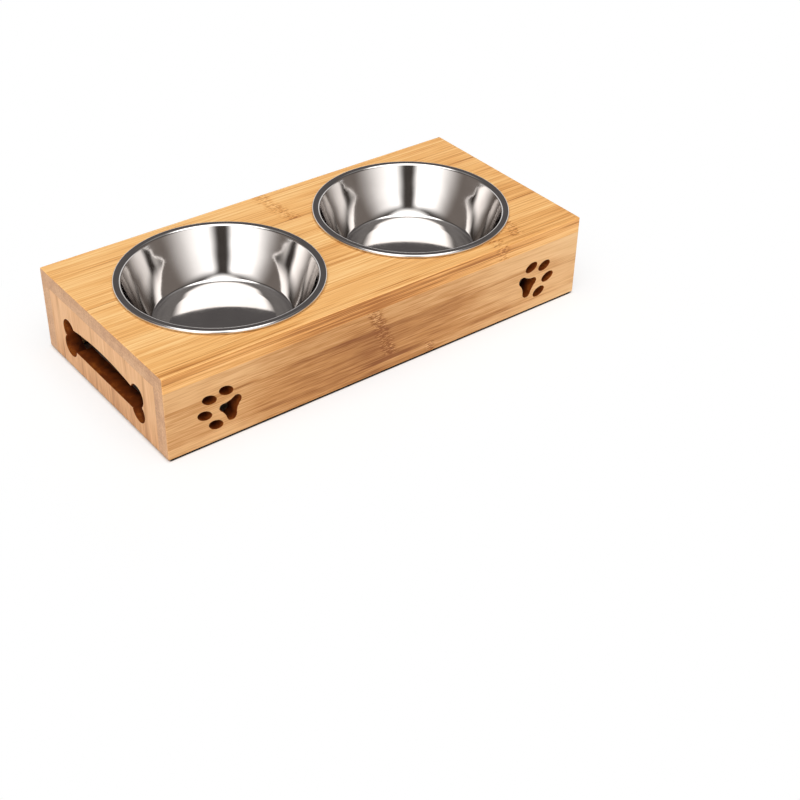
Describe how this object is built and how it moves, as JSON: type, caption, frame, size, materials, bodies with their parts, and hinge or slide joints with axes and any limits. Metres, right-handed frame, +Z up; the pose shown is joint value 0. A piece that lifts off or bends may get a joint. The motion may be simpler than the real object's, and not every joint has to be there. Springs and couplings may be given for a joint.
{
  "type": "pet bowl stand",
  "caption": "Low bamboo feeding stand with round steel bowls hanging in its top, bone-shaped hand holes in its ends and paw-shaped cut-outs in its front.",
  "frame": {"origin": "on the floor under the middle of the stand, level with the undersides of its feet", "axes": "+X along the stand's length to its right-hand end, +Y to its back, +Z up"},
  "size_m": [0.36, 0.169, 0.0688],
  "materials": {
    "bamboo": "satin lacquered bamboo",
    "dowel_wood": "bare turned wood",
    "foot_rubber": "matte",
    "polished_steel": "polished stainless steel"
  },
  "bodies": {
    "stand": {"top_board": "bamboo", "front_board": "bamboo", "rear_board": "bamboo", "left_end_board": "bamboo", "right_end_board": "bamboo", "front_left_corner_dowels": "dowel_wood", "front_right_corner_dowels": "dowel_wood", "rear_left_corner_dowels": "dowel_wood", "rear_right_corner_dowels": "dowel_wood", "front_top_dowels": "dowel_wood", "rear_top_dowels": "dowel_wood", "left_top_dowels": "dowel_wood", "right_top_dowels": "dowel_wood", "front_left_foot": "foot_rubber", "front_right_foot": "foot_rubber", "rear_left_foot": "foot_rubber", "rear_right_foot": "foot_rubber"},
    "left_bowl": {"left_bowl": "polished_steel"},
    "right_bowl": {"right_bowl": "polished_steel"}
  },
  "joints": [
    {"name": "left_bowl_lift", "type": "slide", "parent": "stand", "child": "left_bowl", "axis": [0, 0, 1], "range_m": [0, 0.06]},
    {"name": "right_bowl_lift", "type": "slide", "parent": "stand", "child": "right_bowl", "axis": [0, 0, 1], "range_m": [0, 0.06]}
  ]
}
